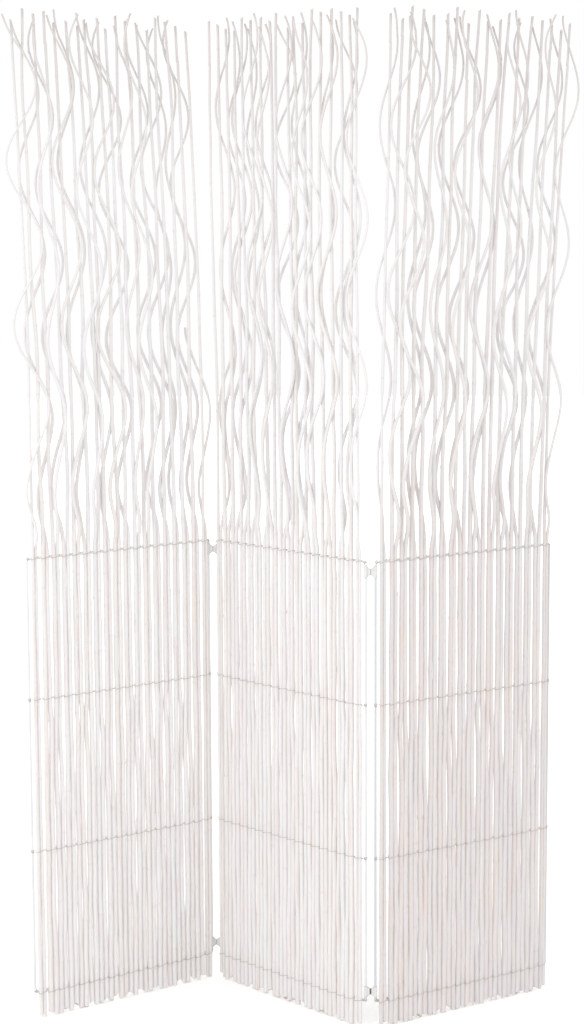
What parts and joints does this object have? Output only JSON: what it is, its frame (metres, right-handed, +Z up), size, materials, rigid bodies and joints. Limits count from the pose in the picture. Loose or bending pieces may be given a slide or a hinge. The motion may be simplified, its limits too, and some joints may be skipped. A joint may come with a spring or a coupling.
{
  "type": "folding screen",
  "caption": "Free-standing folding screen: zigzag panels of tied willow twigs on low rod frames, with free wavy tops, joined by strip clips.",
  "frame": {"origin": "on the floor, under the middle of the standing screen's footprint", "axes": "+Z up; X along the line of the zigzag, +X to the viewer's right; -Y towards the viewer at the front, where the twigs cover the rod frames"},
  "size_m": [0.9942, 0.3018, 1.7997],
  "materials": {
    "whitewashed_willow": "matt translucent white wash over bark, with pink, tan and grey streaks",
    "frame_rod": "satin pale grey paint on steel rod",
    "tying_wire": "dull annealed wire",
    "clip_steel": "pale grey bent strip steel"
  },
  "bodies": {
    "middle_panel": {"middle_stile_left": "frame_rod", "middle_stile_right": "frame_rod", "middle_rail_bottom": "frame_rod", "middle_rail_top": "frame_rod", "middle_straight_twigs": "whitewashed_willow", "middle_wavy_twigs_front": "whitewashed_willow", "middle_wavy_twigs_back": "whitewashed_willow", "middle_tie_row_1": "tying_wire", "middle_tie_row_2": "tying_wire", "middle_tie_row_3": "tying_wire", "middle_tie_row_4": "tying_wire"},
    "left_panel": {"left_stile_left": "frame_rod", "left_stile_right": "frame_rod", "left_rail_bottom": "frame_rod", "left_rail_top": "frame_rod", "left_straight_twigs": "whitewashed_willow", "left_wavy_twigs_front": "whitewashed_willow", "left_wavy_twigs_back": "whitewashed_willow", "left_tie_row_1": "tying_wire", "left_tie_row_2": "tying_wire", "left_tie_row_3": "tying_wire", "left_tie_row_4": "tying_wire"},
    "right_panel": {"right_stile_left": "frame_rod", "right_stile_right": "frame_rod", "right_rail_bottom": "frame_rod", "right_rail_top": "frame_rod", "right_straight_twigs": "whitewashed_willow", "right_wavy_twigs_front": "whitewashed_willow", "right_wavy_twigs_back": "whitewashed_willow", "right_tie_row_1": "tying_wire", "right_tie_row_2": "tying_wire", "right_tie_row_3": "tying_wire", "right_tie_row_4": "tying_wire"},
    "left_fold_clips": {"left_fold_clip_upper": "clip_steel", "left_fold_clip_lower": "clip_steel"},
    "right_fold_clips": {"right_fold_clip_upper": "clip_steel", "right_fold_clip_lower": "clip_steel"}
  },
  "joints": [
    {"name": "left_fold_inner_hinge", "type": "hinge", "parent": "middle_panel", "child": "left_fold_clips", "pos_m": [-0.16373, 0.1392, 0.4], "axis": [0, 0, 1], "range_deg": [-41.5, 36.5]},
    {"name": "left_fold_outer_hinge", "type": "hinge", "parent": "left_fold_clips", "child": "left_panel", "pos_m": [-0.18073, 0.1392, 0.4], "axis": [0, 0, 1], "range_deg": [-41, 37]},
    {"name": "right_fold_inner_hinge", "type": "hinge", "parent": "middle_panel", "child": "right_fold_clips", "pos_m": [0.12687, -0.1179, 0.4], "axis": [0, 0, 1], "range_deg": [-41.5, 36.5]},
    {"name": "right_fold_outer_hinge", "type": "hinge", "parent": "right_fold_clips", "child": "right_panel", "pos_m": [0.14387, -0.1179, 0.4], "axis": [0, 0, 1], "range_deg": [-37.5, 40.5]}
  ]
}
